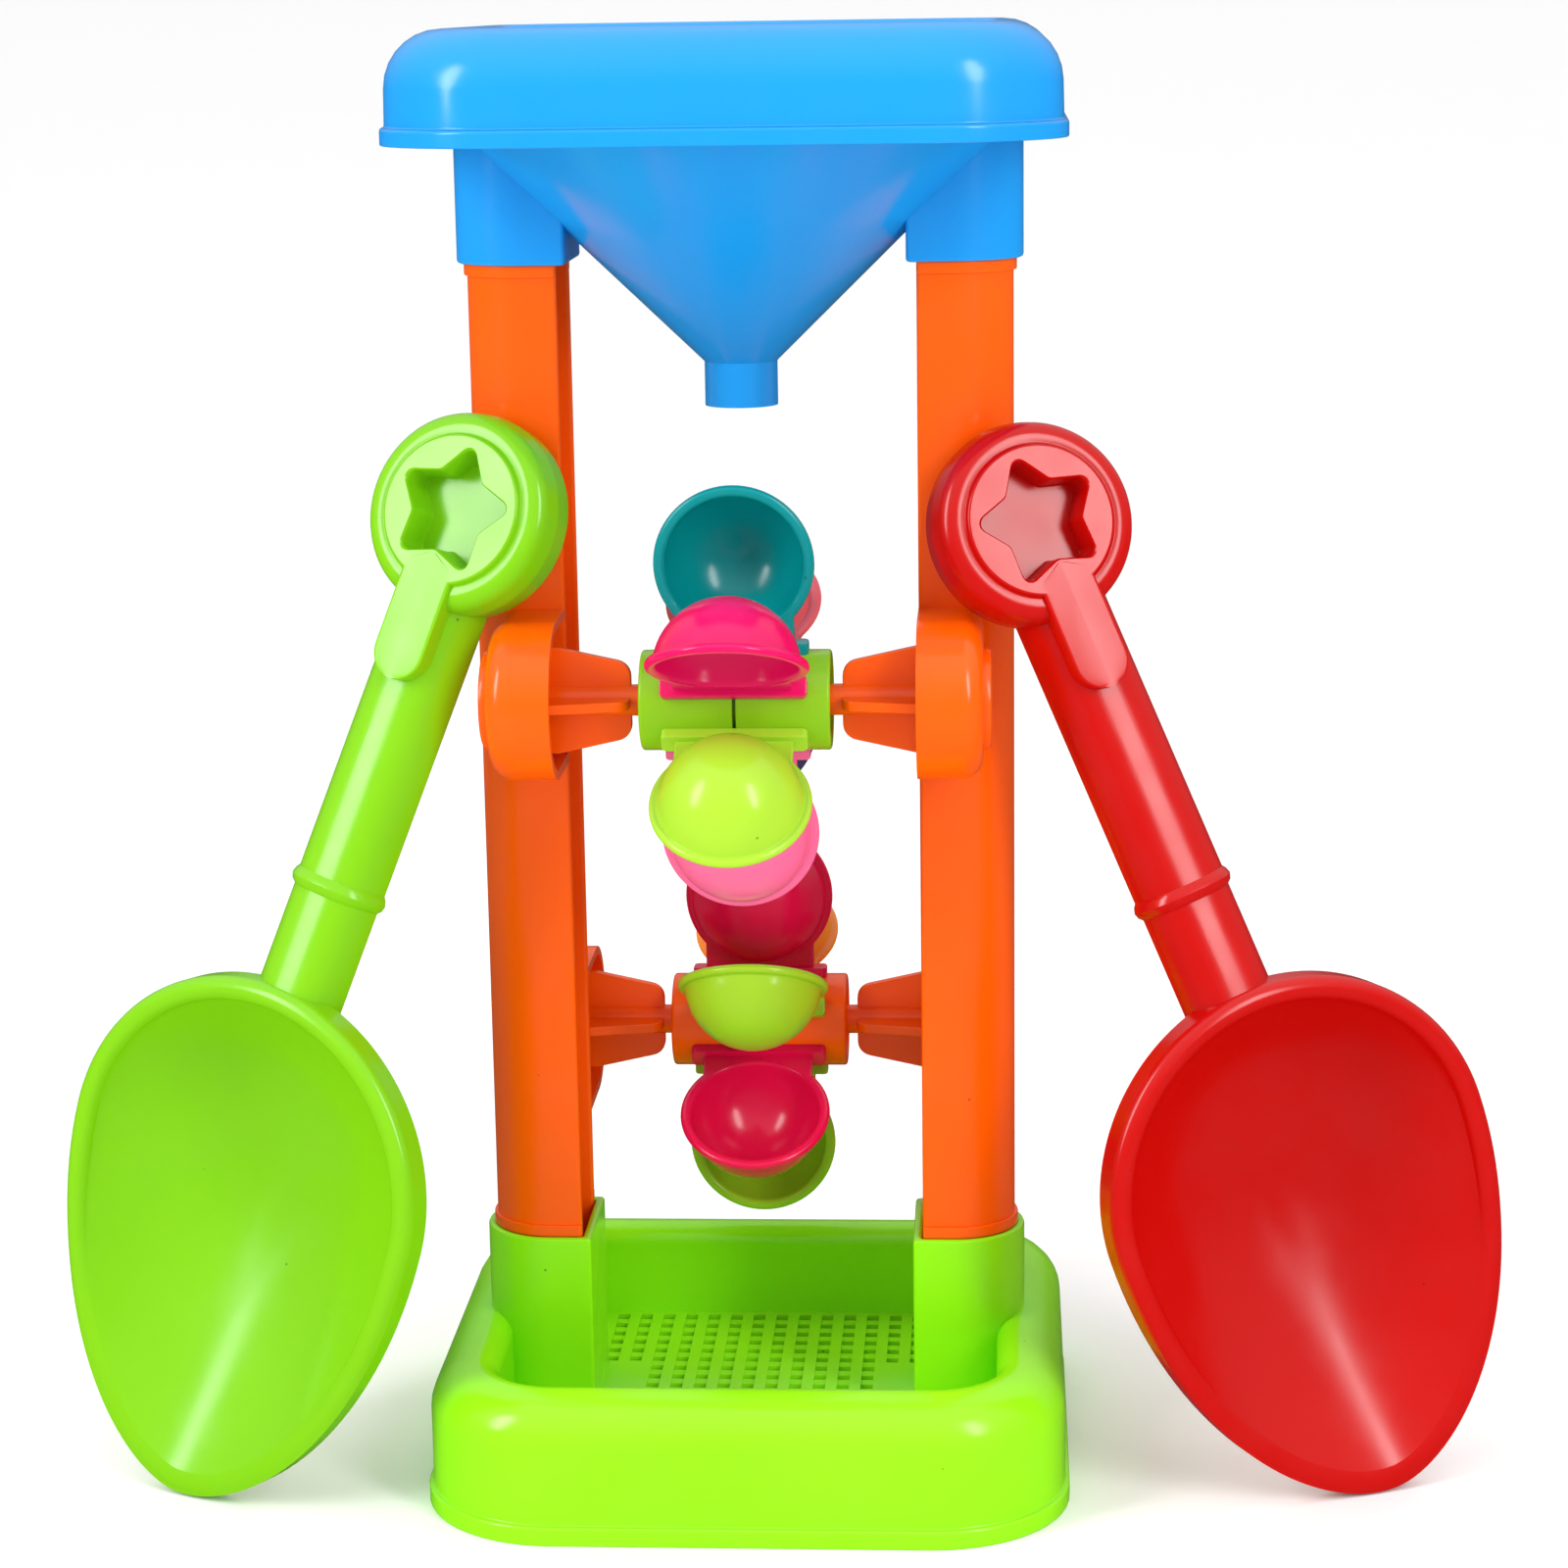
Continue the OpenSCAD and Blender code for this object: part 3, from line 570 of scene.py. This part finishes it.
def hub_half(name, spigot):
    """Half hub from the seam towards +X, with a spigot across the seam on one of the two halves."""
    bore = HUB_R - HUB_WALL
    inner = bore - SPIGOT_WALL if spigot else bore
    hole = PIN_R + PIN_PLAY
    deep = HUB_HALF - HUB_RECESS - HUB_PLATE
    face = HUB_HALF - HUB_RECESS
    outline = [(HUB_R, HUB_SLIT, HUB_SEAM_SOFT), (HUB_R, HUB_HALF, HUB_SOFT), (bore, HUB_HALF, HUB_SOFT),
               (bore, face, HUB_INNER_SOFT), (hole, face, HUB_INNER_SOFT), (hole, deep, 0),
               (inner, deep, HUB_INNER_SOFT)]
    if spigot:
        outline += [(inner, -SPIGOT_LEN, HUB_SEAM_SOFT), (bore - SEAT_PLAY, -SPIGOT_LEN, HUB_SEAM_SOFT),
                    (bore - SEAT_PLAY, HUB_SLIT, 0)]
    else:
        outline += [(inner, HUB_SLIT, HUB_INNER_SOFT)]
    half = lathe(name, rounded(outline, 4), 96)
    slot_t = NECK_T / 2 + SEAT_PLAY
    reach = 0 if spigot else OVERCUT
    for k in range(CUPS):
        notch = block("cup_slot", (-HUB_R - OVERCUT, -slot_t, -OVERCUT),
                      (-bore + reach, slot_t, NECK_W / 2 + SEAT_PLAY))
        turned(notch, Matrix.Rotation(2 * math.pi * k / CUPS, 4, "Z"))
        combine("DIFFERENCE", half, notch)
    return turned(half, TO_X)


WHEELS = {
    "upper_wheel": (Matrix.Translation((0, -AXLE_OUT, UPPER_AXLE_Z))
                    @ Matrix.Rotation(math.radians(UPPER_TURN), 4, "X")),
    "lower_wheel": Matrix.Translation((0, AXLE_OUT, LOWER_AXLE_Z)),
}
HUB_PAINT = {
    "upper_wheel": ("hub_lime", moulded_plastic("hub_lime_plastic", (0.27, 0.56, 0.012), (0.25, 0.53, 0.01))),
    "lower_wheel": ("hub_orange", orange),
}
for wheel, seat in WHEELS.items():
    level = wheel.split("_")[0]
    left_half = turned(hub_half(level + "_hub_left_half", True), Matrix.Scale(-1, 4, (1, 0, 0)))
    right_half = hub_half(level + "_hub_right_half", False)
    slot, paint = HUB_PAINT[wheel]
    finished(turned(left_half, seat), paint, wheel, slot, level + "_hub_left")
    finished(turned(right_half, seat), paint, wheel, slot, level + "_hub_right")

# Cups
# Twelve alike mouldings in mixed colours: a thin round bowl with a beaded lip, a flat neck that drops into
# the hub's slot, and a foot bar that rests on the hub. The lower wheel's cups open the other way.
CUP_REACH = 29.7
CUP_R = 17.0
CUP_LIP = 1.5
CUP_LIP_T = 2.0
CUP_WALL = 0.9
CUP_BACK_TURN = math.radians(81)
CUP_HOLLOW_TURN = math.radians(85)
CUP_LIP_INNER_SOFT = 1.1
CUP_LIP_OUTER_SOFT = 0.98
CUP_LIP_ROOT_SOFT = 0.3
CUP_LIP_START = 1.3
CUP_LIP_END = 2.4
CUP_LIP_END_IN = 0.15
FOOT_L = 31.0
FOOT_W = 4.8
FOOT_T = 2.2
FOOT_SOFT = 1.1
FOOT_EDGE = 0.45
NECK_EDGE = 0.4
AXIS_GAP = 0.05
BOWL_R = CUP_R - CUP_LIP


def bowl_profile():
    """(radius, depth) loop of a bowl with a beaded lip: out along the lip, round the back, in the hollow."""
    turns = 20
    back = [(BOWL_R * math.sin(a), BOWL_R * math.cos(a))
            for a in (CUP_BACK_TURN * (1 - k / turns) for k in range(turns + 1))]
    hollow_r = BOWL_R - CUP_WALL
    hollow = [(hollow_r * math.sin(a), hollow_r * math.cos(a))
              for a in (CUP_HOLLOW_TURN * k / turns for k in range(turns + 1))]
    lip = rounded([(hollow_r, CUP_LIP_START, 0), (hollow_r, 0, CUP_LIP_INNER_SOFT),
                   (CUP_R, 0, CUP_LIP_OUTER_SOFT), (CUP_R, CUP_LIP_T, CUP_LIP_OUTER_SOFT),
                   (BOWL_R, CUP_LIP_T, CUP_LIP_ROOT_SOFT), (BOWL_R - CUP_LIP_END_IN, CUP_LIP_END, 0)], 5)
    middle = [(AXIS_GAP, BOWL_R), (AXIS_GAP, hollow_r)]
    return [(p.x, p.y) for p in lip[1:-1]] + back[:-1] + middle + hollow[1:]


def cup(name):
    """Cup standing along +Z from the axle and opening towards -Y."""
    to_bowl = Matrix.Translation((0, -NECK_T / 2, CUP_REACH)) @ Matrix.Rotation(math.radians(-90), 4, "X")
    piece = turned(lathe(name, bowl_profile(), 80), to_bowl)
    low = HUB_R - HUB_WALL + SEAT_PLAY
    neck = block("neck", (-NECK_W / 2, -NECK_T / 2, low), (NECK_W / 2, NECK_T / 2, CUP_REACH))
    soften(neck, NECK_EDGE)
    hollow_r = BOWL_R - CUP_WALL / 2
    hollow = [(hollow_r, -CUP_LIP_T)] + [(hollow_r * math.cos(a), hollow_r * math.sin(a))
                                         for a in (math.radians(5 * k) for k in range(18))]
    combine("DIFFERENCE", neck, turned(lathe_solid("hollow", hollow, 80), to_bowl))
    foot_x, foot_y = FOOT_L / 2, FOOT_W / 2
    foot_plan = rounded([(-foot_x, -foot_y, FOOT_SOFT), (foot_x, -foot_y, FOOT_SOFT),
                         (foot_x, foot_y, FOOT_SOFT), (-foot_x, foot_y, FOOT_SOFT)], 4)
    foot = loft("foot", [place(foot_plan, HUB_R - HUB_WALL), place(foot_plan, HUB_R + FOOT_T)])
    soften(foot, FOOT_EDGE, angle=50)
    drum = turned(lathe_solid("drum", [(HUB_R + SEAT_PLAY, -FOOT_L), (HUB_R + SEAT_PLAY, FOOT_L)], 96), TO_X)
    combine("DIFFERENCE", foot, drum)
    return combine("UNION", piece, neck, foot)


CUP_PAINTS = {
    "teal": moulded_plastic("teal_plastic", (0.0005, 0.26, 0.27), (0.0004, 0.24, 0.25)),
    "magenta": moulded_plastic("magenta_plastic", (0.78, 0.005, 0.12), (0.74, 0.004, 0.11)),
    "lime": moulded_plastic("cup_lime_plastic", (0.4, 0.68, 0.035), (0.37, 0.65, 0.03)),
    "pink": moulded_plastic("pink_plastic", (0.92, 0.15, 0.33), (0.88, 0.14, 0.31)),
    "violet": moulded_plastic("violet_plastic", (0.07, 0.07, 0.25), (0.06, 0.06, 0.23)),
    "salmon": moulded_plastic("salmon_plastic", (0.85, 0.16, 0.18), (0.81, 0.14, 0.16)),
    "crimson": moulded_plastic("crimson_plastic", (0.72, 0.005, 0.065), (0.68, 0.004, 0.06)),
    "green": moulded_plastic("cup_green_plastic", (0.34, 0.58, 0.022), (0.31, 0.55, 0.018)),
    "yellow": moulded_plastic("cup_yellow_plastic", (0.85, 0.27, 0.012), (0.81, 0.25, 0.01)),
}
CUP_COLOURS = {
    "upper_wheel": ["teal", "magenta", "lime", "pink", "violet", "salmon"],
    "lower_wheel": ["crimson", "green", "crimson", "green", "teal", "yellow"],
}
for wheel, colours in CUP_COLOURS.items():
    level = wheel.split("_")[0]
    facing = Matrix.Identity(4) if level == "upper" else Matrix.Scale(-1, 4, (0, 1, 0))
    for k, colour in enumerate(colours):
        node = f"{level}_cup_{k + 1}"
        spot = WHEELS[wheel] @ Matrix.Rotation(2 * math.pi * k / CUPS, 4, "X") @ facing
        finished(turned(cup(node + "_shell"), spot), CUP_PAINTS[colour], wheel, "cup_" + colour, node)

# Shovels
# Two hand shovels of one mould, green and red, leaning on the posts: a round grip with a star recess, a half
# tube handle with a raised thumb tab and a collar, and a deep egg-shaped scoop with a rolled rim.
GRIP_R = 22.0
GRIP_T = 13.0
GRIP_BACK_SOFT = 0.4
GRIP_BELLY_SHARE = 0.42
GRIP_BELLY_SOFT = 4.0
GRIP_SHOULDER_IN = 1.2
GRIP_SHOULDER_DROP = 0.7
GRIP_SHOULDER_SOFT = 3.6
BOSS_R = 16.0
BOSS_H = 1.4
BOSS_DRAFT = 0.4
BOSS_ROOT_SOFT = 0.5
BOSS_SOFT = 0.6
STAR_R = 14.7
STAR_SHARE = 0.6
STAR_DEEP = 8.0
STAR_SOFT = 1.9
HANDLE_LEN = 108.5
HANDLE_R = 10.5
HANDLE_FLAT_SHARE = 0.085
HANDLE_EDGE = 0.4
SHANK_IN = 0.25
COLLAR_Z = 22.5
COLLAR_H = 2.4
COLLAR_RUN = 0.8
COLLAR_SIDE_SHARE = 0.6
TAB_W = 12.4
TAB_LEN = 38.0
TAB_TOP = 10.2
TAB_FRONT = 12.9
TAB_RIDGE = 0.2
TAB_RIDGE_HALF = 0.12
TAB_TIP = 0.8
TAB_SOFT = 0.7
TAB_ROOT = 5.0
SCOOP_W = 90.5
SCOOP_LEN = 120.5
SCOOP_TOP_SHARE = 0.37
SCOOP_POWER = 1.12
SCOOP_DEEP = 20.0
DISH_POWER = 2.375
DISH_POWER_SWING = 0.75
DISH_POWER_EASE = 0.125
ROLL_R = 2.6
TIP_ROLL_SHARE = 0.15
ROLL_FADE_START = 0.05
ROLL_FADE_SPAN = 0.8
ROLL_FADE_POWER = 1.5
RIM_EDGE = 0.5
SCOOP_BEND = 13.5
HANDLE_FRONT_SHARE = 0.86


def egg(a, grow):
    """Scoop outline in its own plane, at an angle from the handle, moved outwards by grow."""
    top = SCOOP_LEN * SCOOP_TOP_SHARE
    s, c = math.sin(a), math.cos(a)
    reach = (top if c >= 0 else SCOOP_LEN - top) + grow
    across = math.copysign(abs(s) ** (SCOOP_POWER if c < 0 else 1), s)
    return (SCOOP_W / 2 + grow) * across, reach * c


def scoop(name):
    """Dished egg with a rolled rim: steep under the handle, running out flat to a plain edge at the tip."""
    steps = 144
    angles = [2 * math.pi * k / steps for k in range(steps)]
    roll = 2 * ROLL_R
    shares = [0.02] + [0.08 * k for k in range(1, 12)] + [0.92, 0.955, 0.98, 1]

    def dish(share, below):
        ring = []
        for a in angles:
            x, z = egg(a, -roll)
            power = DISH_POWER + DISH_POWER_SWING * math.cos(a) - DISH_POWER_EASE * math.cos(2 * a)
            ring.append(Vector((share * x, SCOOP_DEEP * (1 - share ** power) + below, share * z)))
        return ring

    def rim(grow, y):
        return [Vector((x, y, z)) for x, z in (egg(a, grow - roll) for a in angles)]

    def crest(turn):
        ring = rim(ROLL_R * (1 - math.cos(turn)), 0)
        for a, p in zip(angles, ring):
            t = min(max((-math.cos(a) - ROLL_FADE_START) / ROLL_FADE_SPAN, 0), 1)
            fade = t * t * (3 - 2 * t)
            height = ROLL_R * (1 - fade * (1 - TIP_ROLL_SHARE))
            p.y = -height * math.sin(turn) ** (1 + ROLL_FADE_POWER * fade)
        return ring

    rings = [dish(share, 0) for share in shares]
    rings += [crest(math.pi * k / 14) for k in range(1, 14)]
    rings += [rim(roll, 0), rim(roll, roll - RIM_EDGE), rim(roll - RIM_EDGE, roll),
              rim(roll - WALL + RIM_EDGE, roll), rim(roll - WALL, roll - RIM_EDGE), rim(roll - WALL, WALL)]
    rings += [dish(share, WALL) for share in reversed(shares[:-1])]
    spot = (Matrix.Translation((0, -HANDLE_R * HANDLE_FRONT_SHARE, 0))
            @ Matrix.Rotation(math.radians(SCOOP_BEND), 4, "X")
            @ Matrix.Translation((0, 0, -SCOOP_LEN * SCOOP_TOP_SHARE)))
    return turned(loft(name, rings), spot)


def grip():
    """Domed disc with a raised boss round a deep star, facing -Y, the first tip away from the handle."""
    profile = rounded([
        (AXIS_GAP, 0, 0), (GRIP_R - GRIP_BACK_SOFT, 0, GRIP_BACK_SOFT),
        (GRIP_R, GRIP_T * GRIP_BELLY_SHARE, GRIP_BELLY_SOFT),
        (GRIP_R - GRIP_SHOULDER_IN, GRIP_T - GRIP_SHOULDER_DROP, GRIP_SHOULDER_SOFT),
        (BOSS_R + BOSS_DRAFT, GRIP_T - BOSS_H, BOSS_ROOT_SOFT), (BOSS_R, GRIP_T, BOSS_SOFT),
        (AXIS_GAP, GRIP_T, 0)], 7)
    knob = lathe_solid("grip", [(p.x, p.y) for p in profile], 120)
    corners = []
    for i in range(10):
        a = math.radians(36 * i + 90)
        q = STAR_R if i % 2 == 0 else STAR_R * STAR_SHARE
        corners.append((q * math.cos(a), q * math.sin(a), STAR_SOFT))
    outline = rounded(corners, 4)
    levels = [(0.93, GRIP_T - STAR_DEEP), (0.96, GRIP_T - STAR_DEEP + 0.5), (0.99, GRIP_T - 0.8),
              (1.01, GRIP_T - 0.3), (1.05, GRIP_T + 0.1)]
    hole = loft("star", [place([p * share for p in outline], z) for share, z in levels])
    combine("DIFFERENCE", knob, hole)
    return turned(knob, Matrix.Translation((0, 0, HANDLE_LEN)) @ Matrix.Rotation(math.radians(90), 4, "X"))


def handle():
    """Half tube, a little flattened in front, with a collar bead near the scoop."""
    inner = HANDLE_R - WALL
    collar_top, collar_side = COLLAR_Z + COLLAR_H, LIP_OUT * COLLAR_SIDE_SHARE
    stations = [(-WALL, -SHANK_IN), (COLLAR_Z - COLLAR_RUN, -SHANK_IN), (COLLAR_Z, collar_side),
                (COLLAR_Z + COLLAR_H / 2, LIP_OUT), (collar_top, collar_side), (collar_top + COLLAR_RUN, 0),
                (HANDLE_LEN - GRIP_R / 2, 0)]
    rings = []
    for z, grow in stations:
        r = HANDLE_R + grow
        front = [Vector((r * math.cos(a), -r * math.sin(a) * (1 - HANDLE_FLAT_SHARE * math.sin(a) ** 10)))
                 for a in (math.pi * k / 36 for k in range(37))]
        hollow = [Vector((inner * math.cos(a), -inner * math.sin(a)))
                  for a in (math.pi * (1 - k / 36) for k in range(37))]
        rings.append(place(front + hollow, z))
    return soften(loft("handle", rings), HANDLE_EDGE, angle=50)


def thumb_tab():
    """Raised tongue from the star's lower notch down the handle, ridged along its middle."""
    half, top, low = TAB_W / 2, HANDLE_LEN - TAB_TOP, HANDLE_LEN - TAB_LEN
    stations = [(top + 0.4, TAB_TIP), (top - 0.8, half * 0.5), (top - 2, half * 0.9), (top - 3, half)]
    stations += [(low + half * (1 - math.sin(a)), max(half * math.cos(a), TAB_TIP))
                 for a in (math.radians(9 * k) for k in range(10))]
    rings = []
    for z, w in stations:
        soft = min(TAB_SOFT, w / 2)
        front = TAB_FRONT + (GRIP_T + TAB_RIDGE - TAB_FRONT) * (z - low) / (top - low)
        edge = TAB_RIDGE * w / half
        side = [(w, TAB_ROOT), (w, edge + 0.6), (w - soft * EDGE_BOW_SHARE, edge + 0.15),
                (w - soft, TAB_RIDGE * (w - soft) / half)]
        ridge = [(TAB_RIDGE_HALF, 0.02), (-TAB_RIDGE_HALF, 0.02)]
        outline = side + ridge + [(-x, y) for x, y in reversed(side)]
        rings.append([Vector((x, y - front, z)) for x, y in outline])
    return loft("thumb_tab", rings)


def shovel(name):
    """Whole shovel, upright: the handle along Z with the grip on top and the scoop below, facing -Y."""
    return combine("UNION", scoop(name), handle(), grip(), thumb_tab())


SHOVELS = {
    "green": dict(body="left_shovel", side=-1, lean=21.0, back=10.0, turn=25.5, spot=(94.0, -36.36, 114.72),
                  paint=moulded_plastic("shovel_green_plastic", (0.21, 0.56, 0.005), (0.19, 0.53, 0.004))),
    "red": dict(body="right_shovel", side=1, lean=23.5, back=8.5, turn=22.5, spot=(103.5, -31.57, 113.03),
                paint=moulded_plastic("shovel_red_plastic", (0.53, 0.0025, 0.001), (0.49, 0.002, 0.001))),
}
for colour, one in SHOVELS.items():
    stand = (Matrix.Scale(one["side"], 4, (1, 0, 0)) @ Matrix.Translation(one["spot"])
             @ Matrix.Rotation(math.radians(-one["lean"]), 4, "Y")
             @ Matrix.Rotation(math.radians(-one["back"]), 4, "X")
             @ Matrix.Rotation(math.radians(one["turn"]), 4, "Z"))
    piece = turned(shovel(colour + "_shovel_shell"), stand)
    finished(piece, one["paint"], one["body"], "shovel_" + colour, colour + "_shovel")

# Studio
# Pale paper that rises gently on every side, soft light from above, a soft box on each side in front, and
# the camera at the height of the hopper, a little to the right.
CAMERA_AT = Vector((0.05577 + TOWER_X * MM, -0.7835, 0.32303))
CAMERA_YAW = 0.061
CAMERA_PITCH = 0.214
CAMERA_ROLL = 0.0151
CAMERA_LENS = 83.16
SWEEP_REACH = 2.0
SWEEP_R = 2.4
SWEEP_ARC = math.radians(55)
HORIZON_LIGHT = 0.06
OVERHEAD_LIGHT = 1.45
LAMP_AIM = (0, 0, 0.16)
SENSOR_W = 36


def paper_sweep():
    """Pale paper round the toy: flat under it, and rising gently on every side."""
    steps = 96
    rise = [SWEEP_ARC * k / 16 for k in range(17)]
    profile = [(SWEEP_REACH + SWEEP_R * math.sin(a), SWEEP_R * (1 - math.cos(a))) for a in rise]
    turns = [2 * math.pi * k / steps for k in range(steps)]
    points = [(r * math.cos(a), r * math.sin(a), z) for r, z in profile for a in turns]
    faces = [tuple(range(steps))]
    faces += [(k + i, k + steps + i, k + steps + (i + 1) % steps, k + (i + 1) % steps)
              for k in range(0, steps * (len(profile) - 1), steps) for i in range(steps)]
    mesh = bpy.data.meshes.new("paper_sweep")
    mesh.from_pydata(points, [], faces)
    mesh.polygons.foreach_set("use_smooth", [True] * len(mesh.polygons))
    sweep = bpy.data.objects.new("paper_sweep", mesh)
    bpy.context.scene.collection.objects.link(sweep)
    sweep.visible_glossy = False
    paper = bpy.data.materials.new("studio_paper")
    paper.use_nodes = True
    shader = paper.node_tree.nodes["Principled BSDF"]
    shader.inputs["Base Color"].default_value = (0.95, 0.95, 0.95, 1)
    shader.inputs["Roughness"].default_value = 0.9
    shader.inputs["Specular IOR Level"].default_value = 0.1
    mesh.materials.append(paper)


def soft_box(name, at, width, height, watts):
    """Oval area lamp turned towards the tower."""
    light = bpy.data.lights.new(name, "AREA")
    light.shape = "ELLIPSE"
    light.size = width
    light.size_y = height
    light.energy = watts
    lamp = bpy.data.objects.new(name, light)
    lamp.location = at
    lamp.rotation_euler = (Vector(LAMP_AIM) - Vector(at)).to_track_quat("-Z", "Y").to_euler()
    bpy.context.scene.collection.objects.link(lamp)


def studio_room():
    """Soft light that is strongest from above and fades towards the horizon."""
    room = bpy.data.worlds.new("studio_room")
    room.use_nodes = True
    nodes, links = room.node_tree.nodes, room.node_tree.links
    where = nodes.new("ShaderNodeTexCoord")
    split = nodes.new("ShaderNodeSeparateXYZ")
    fade = nodes.new("ShaderNodeMapRange")
    fade.inputs["To Min"].default_value = HORIZON_LIGHT
    fade.inputs["To Max"].default_value = OVERHEAD_LIGHT
    links.new(where.outputs["Generated"], split.inputs["Vector"])
    links.new(split.outputs["Z"], fade.inputs["Value"])
    links.new(fade.outputs["Result"], nodes["Background"].inputs["Strength"])
    nodes["Background"].inputs["Color"].default_value = (1, 1, 1, 1)
    bpy.context.scene.world = room


def photo_camera():
    """Camera that sees the toy as the photo does."""
    forward = Vector((-math.sin(CAMERA_YAW) * math.cos(CAMERA_PITCH),
                      math.cos(CAMERA_YAW) * math.cos(CAMERA_PITCH), -math.sin(CAMERA_PITCH)))
    right = Vector((math.cos(CAMERA_YAW), math.sin(CAMERA_YAW), 0))
    up = right.cross(forward)
    across = math.cos(CAMERA_ROLL) * right - math.sin(CAMERA_ROLL) * up
    upright = math.sin(CAMERA_ROLL) * right + math.cos(CAMERA_ROLL) * up
    camera = bpy.data.objects.new("camera", bpy.data.cameras.new("camera"))
    camera.data.lens = CAMERA_LENS
    camera.data.sensor_width = SENSOR_W
    camera.data.clip_start = 0.01
    turn = Matrix((across, upright, -forward)).transposed().to_4x4()
    camera.matrix_world = Matrix.Translation(CAMERA_AT) @ turn
    bpy.context.scene.collection.objects.link(camera)
    bpy.context.scene.camera = camera


paper_sweep()
soft_box("soft_box_left", (-0.99, -0.71, 0.75), width=0.32, height=0.9, watts=8.6)
soft_box("soft_box_right", (0.81, -0.93, 0.77), width=0.3, height=0.9, watts=7.6)
studio_room()
bpy.context.scene.view_settings.view_transform = "Standard"
photo_camera()
